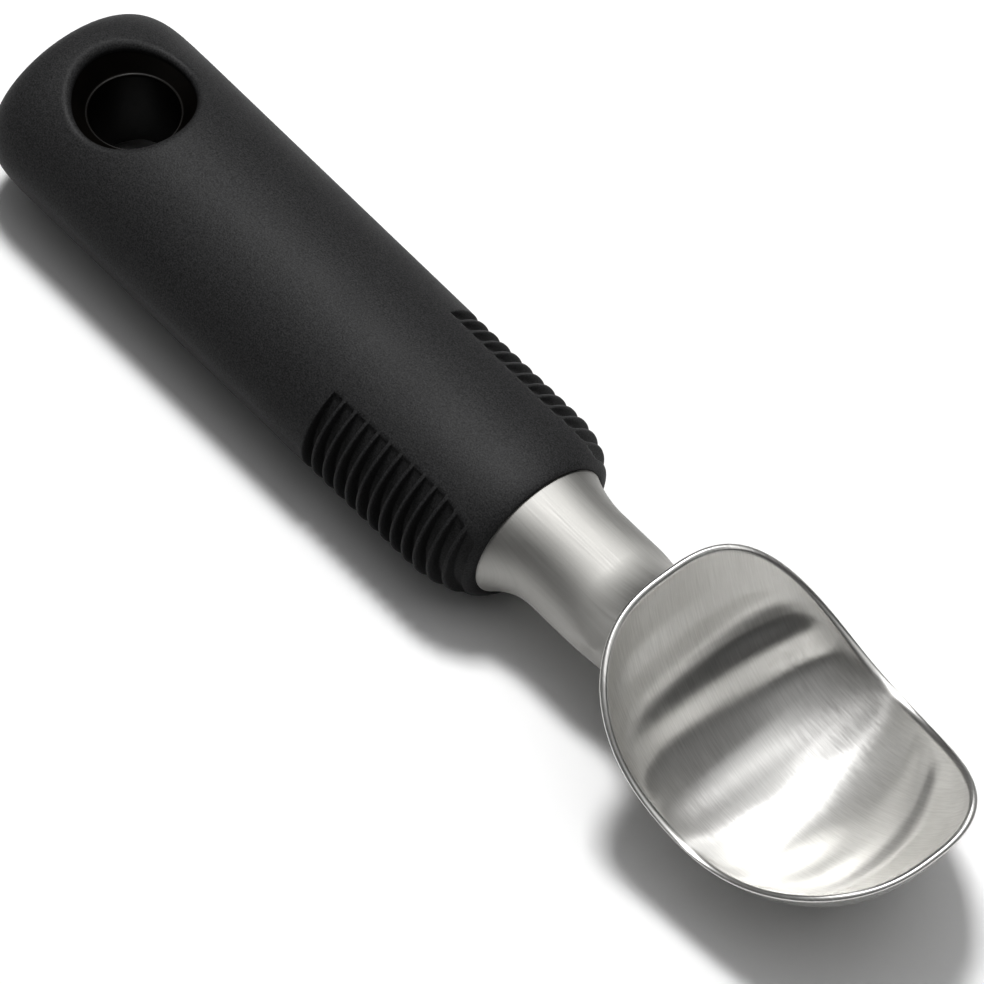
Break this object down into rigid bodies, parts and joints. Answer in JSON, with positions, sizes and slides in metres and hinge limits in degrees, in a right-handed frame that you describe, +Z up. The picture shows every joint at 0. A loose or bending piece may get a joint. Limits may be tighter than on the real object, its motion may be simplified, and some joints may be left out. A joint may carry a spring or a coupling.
{
  "type": "ice cream scoop",
  "caption": "Fixed ice cream scoop: cast steel bowl and neck on a thick oval soft grip with ribbed sides and a hang hole through its rear end.",
  "frame": {"origin": "on the table below the middle of the tool's length", "axes": "+X along the tool towards the bowl's lip, +Z up out of the bowl's mouth, Y across the tool"},
  "size_m": [0.2016, 0.044, 0.034],
  "materials": {
    "steel": "satin brushed, brighter at the rim",
    "core": "semi-gloss black",
    "grip": "matte charcoal, fine grain"
  },
  "bodies": {
    "root": {"scoop_head": "steel", "handle_core": "core", "grip_sleeve": "grip"}
  },
  "joints": []
}
